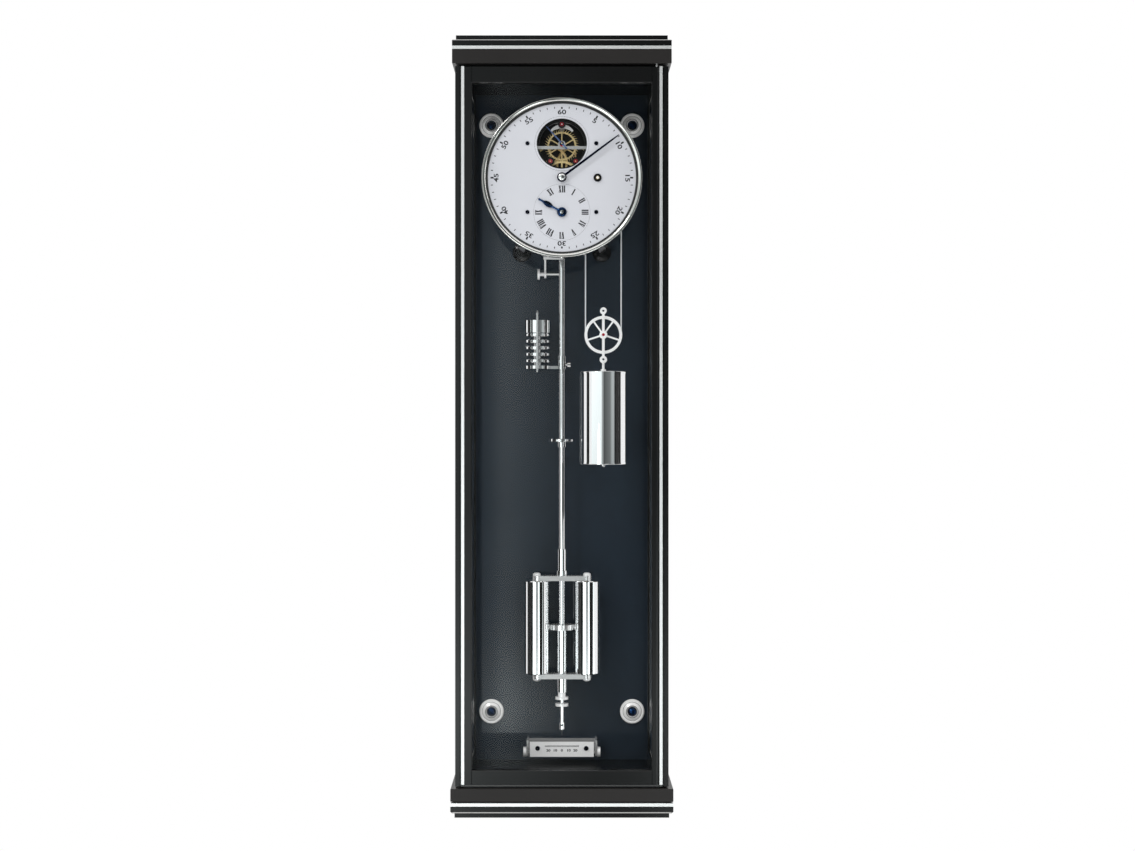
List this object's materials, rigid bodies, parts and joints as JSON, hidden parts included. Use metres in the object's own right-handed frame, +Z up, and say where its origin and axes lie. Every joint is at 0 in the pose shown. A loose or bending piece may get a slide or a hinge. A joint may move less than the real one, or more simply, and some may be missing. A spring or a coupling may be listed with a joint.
{
  "type": "wall regulator clock",
  "caption": "Wall-hung precision pendulum clock: glazed black case with a hinged door, weight drive, barometric pendulum with twin-cylinder bob and a beat scale.",
  "frame": {"origin": "centre of the four wall fixing holes, on the wall face of the case", "axes": "+X to the right seen from the front, +Y into the wall, +Z up"},
  "size_m": [0.28, 0.16, 0.9843],
  "materials": {
    "black_lacquer": "high-gloss piano-black lacquer on hardwood",
    "dark_panel": "polished dark panel",
    "clear_glass": "clear glass",
    "polished_steel": "mirror-polished stainless steel",
    "blued_steel": "heat-blued steel",
    "silvered_dial": "fine matt silvered brass",
    "nickel": "satin nickel-plated brass",
    "brass": "polished and gilt brass",
    "black_steel": "black satin lacquered steel",
    "steel": "turned steel",
    "ruby": "synthetic ruby",
    "line": "twisted steel and gut line",
    "black_hand": "black polished steel"
  },
  "bodies": {
    "case": {"back_board": "black_lacquer", "back_panel": "dark_panel", "side_frame_left": "black_lacquer", "side_frame_right": "black_lacquer", "side_glasses": "clear_glass", "floor_and_ceiling": "black_lacquer", "crown_frieze": "black_lacquer", "crown_boards": "black_lacquer", "base_plinth": "black_lacquer", "base_boards": "black_lacquer", "steel_inlays": "polished_steel", "wall_rosettes": "polished_steel", "wall_nuts": "blued_steel", "hinge_pins": "steel", "movement_bracket": "black_steel", "steel_screws": "steel", "rear_plate": "nickel", "front_plate": "nickel", "pillars": "steel", "cocks": "nickel", "jewels": "ruby", "dial": "silvered_dial", "bezel": "polished_steel", "dial_screws": "blued_steel", "falling_line": "line", "returning_line": "line", "scale_bracket": "nickel"},
    "door": {"door_frame": "black_lacquer", "door_glass": "clear_glass", "door_beads": "black_lacquer"},
    "pendulum": {"suspension_spring": "steel", "pendulum_rod": "steel", "barometer": "nickel", "regulating_table": "nickel"},
    "bob": {"bob_cylinders": "polished_steel", "bob_yokes": "nickel", "bob_bolts": "steel", "bob_tubes": "nickel"},
    "rating": {"rating_nuts": "nickel"},
    "anchor": {"anchor": "steel", "crutch": "steel"},
    "beat_adjuster": {"beat_screw": "brass"},
    "centre": {"centre_wheel": "brass", "minute_hand": "black_hand"},
    "motion": {"motion_wheel": "brass"},
    "hour": {"hour_wheel": "brass", "hour_hand": "black_hand"},
    "third": {"third_wheel": "brass"},
    "escape": {"escape_wheel": "brass", "seconds_hand": "black_hand"},
    "intermediate": {"intermediate_wheel": "brass"},
    "great": {"great_wheel": "brass"},
    "winding_drum": {"drum": "nickel", "drum_line": "line"},
    "weight": {"weight": "polished_steel", "bail": "polished_steel", "line_loop": "line"},
    "pulley": {"pulley": "nickel"},
    "scale": {"beat_scale": "silvered_dial"},
    "scale_adjuster": {"scale_spindle": "steel"}
  },
  "joints": [
    {"name": "door_hinge", "type": "hinge", "parent": "case", "child": "door", "pos_m": [0.1195, -0.151, 0], "axis": [0, 0, 1], "range_deg": [0, 90]},
    {"name": "pendulum_swing", "type": "hinge", "parent": "case", "child": "pendulum", "pos_m": [0, -0.045, 0.37596], "axis": [0, 1, 0], "range_deg": [-2, 2]},
    {"name": "bob_lift", "type": "slide", "parent": "pendulum", "child": "bob", "axis": [0, 0, 1], "range_m": [-0.0015, 0.0015]},
    {"name": "rating_nut_turn", "type": "hinge", "parent": "bob", "child": "rating", "pos_m": [0, -0.045, -0.364], "axis": [0, 0, 1], "range_deg": [-541, 541]},
    {"name": "anchor_rock", "type": "hinge", "parent": "case", "child": "anchor", "pos_m": [0, -0.09, 0.37596], "axis": [0, 1, 0], "range_deg": [-2, 2]},
    {"name": "beat_screw_turn", "type": "hinge", "parent": "anchor", "child": "beat_adjuster", "pos_m": [-0.0306, -0.045, 0.19], "axis": [1, 0, 0], "continuous": true},
    {"name": "minute_hand_turn", "type": "hinge", "parent": "case", "child": "centre", "pos_m": [0, -0.1, 0.306], "axis": [0, 1, 0], "continuous": true},
    {"name": "hour_hand_turn", "type": "hinge", "parent": "case", "child": "hour", "pos_m": [0, -0.1, 0.262], "axis": [0, 1, 0], "continuous": true},
    {"name": "motion_wheel_turn", "type": "hinge", "parent": "case", "child": "motion", "pos_m": [-0.00752, -0.1, 0.28321], "axis": [0, 1, 0], "continuous": true},
    {"name": "third_wheel_turn", "type": "hinge", "parent": "case", "child": "third", "pos_m": [-0.01469, -0.1, 0.32865], "axis": [0, 1, 0], "continuous": true},
    {"name": "seconds_hand_turn", "type": "hinge", "parent": "case", "child": "escape", "pos_m": [0, -0.1, 0.3495], "axis": [0, 1, 0], "continuous": true},
    {"name": "intermediate_wheel_turn", "type": "hinge", "parent": "case", "child": "intermediate", "pos_m": [0.01762, -0.1, 0.32878], "axis": [0, 1, 0], "continuous": true},
    {"name": "great_wheel_turn", "type": "hinge", "parent": "case", "child": "great", "pos_m": [0.0455, -0.1, 0.306], "axis": [0, 1, 0], "continuous": true},
    {"name": "weight_lift", "type": "slide", "parent": "case", "child": "weight", "axis": [0, 0, 1], "range_m": [-0.375, 0.09], "deforming": ["falling_line", "returning_line"]},
    {"name": "drum_winding", "type": "hinge", "parent": "case", "child": "winding_drum", "pos_m": [0.0455, -0.1, 0.306], "axis": [0, 1, 0], "range_deg": [-333.7, 1387.2]},
    {"name": "pulley_turn", "type": "hinge", "parent": "weight", "child": "pulley", "pos_m": [0.0535, -0.09775, 0.1073], "axis": [0, 1, 0], "range_deg": [-225.2, 935.2]},
    {"name": "beat_scale_shift", "type": "slide", "parent": "case", "child": "scale", "axis": [1, 0, 0], "range_m": [-0.0015, 0.0015]},
    {"name": "scale_spindle_turn", "type": "hinge", "parent": "case", "child": "scale_adjuster", "pos_m": [0, -0.04, -0.441], "axis": [1, 0, 0], "range_deg": [-772.4, 772.4]}
  ],
  "couplings": [
    {"joint": "rating_nut_turn", "follows": "bob_lift", "rad_per_m": 6283.2},
    {"joint": "anchor_rock", "follows": "pendulum_swing", "ratio": 1},
    {"joint": "hour_hand_turn", "follows": "minute_hand_turn", "ratio": 0.083333},
    {"joint": "motion_wheel_turn", "follows": "minute_hand_turn", "ratio": -0.33333},
    {"joint": "third_wheel_turn", "follows": "minute_hand_turn", "ratio": -8},
    {"joint": "seconds_hand_turn", "follows": "minute_hand_turn", "ratio": 60},
    {"joint": "intermediate_wheel_turn", "follows": "minute_hand_turn", "ratio": -0.14286},
    {"joint": "great_wheel_turn", "follows": "minute_hand_turn", "ratio": 0.015873},
    {"joint": "drum_winding", "follows": "weight_lift", "rad_per_m": -64.516},
    {"joint": "pulley_turn", "follows": "weight_lift", "rad_per_m": -43.478},
    {"joint": "scale_spindle_turn", "follows": "beat_scale_shift", "rad_per_m": 8976}
  ]
}
